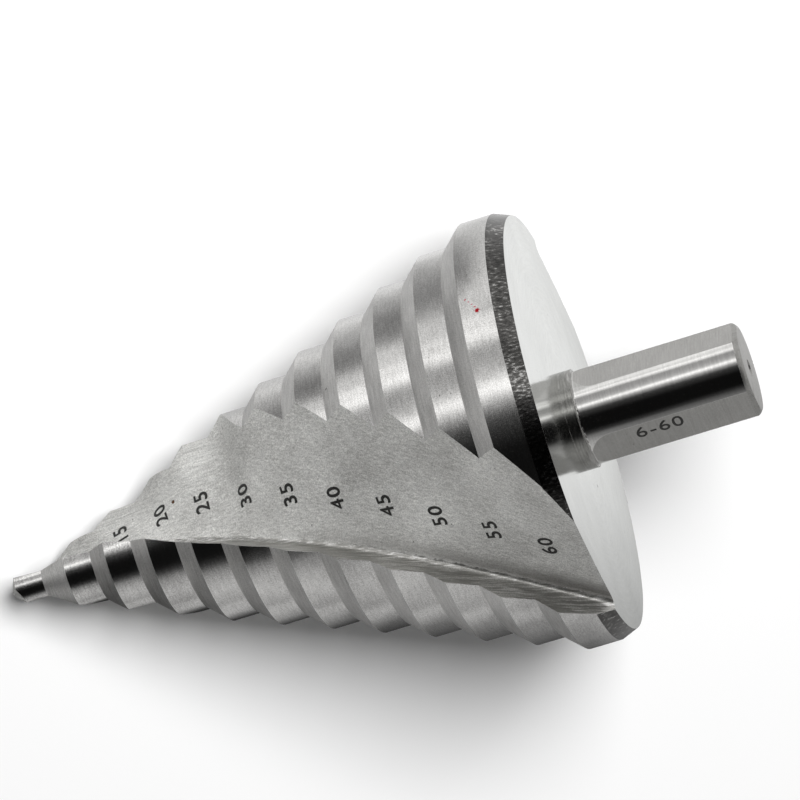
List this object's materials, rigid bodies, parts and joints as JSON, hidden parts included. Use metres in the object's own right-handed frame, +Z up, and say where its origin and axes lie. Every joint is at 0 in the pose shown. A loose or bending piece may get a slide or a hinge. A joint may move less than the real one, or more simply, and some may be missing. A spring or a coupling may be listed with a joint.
{
  "type": "step drill",
  "caption": "Conical step drill with two spiral flutes, steps growing from a small point to a wide head, and a straight three-flat shank.",
  "frame": {"origin": "centre of the bounding box at the bench surface the drill lies on", "axes": "+Z up from the bench, +X from the shank towards the point along the bench, and the flute that carries the step numbers faces up"},
  "size_m": [0.103, 0.06, 0.057],
  "materials": {
    "ground_steel": "ground high-speed steel, satin in the flutes and bright on the lands"
  },
  "bodies": {
    "root": {"step_drill": "ground_steel"}
  },
  "joints": []
}
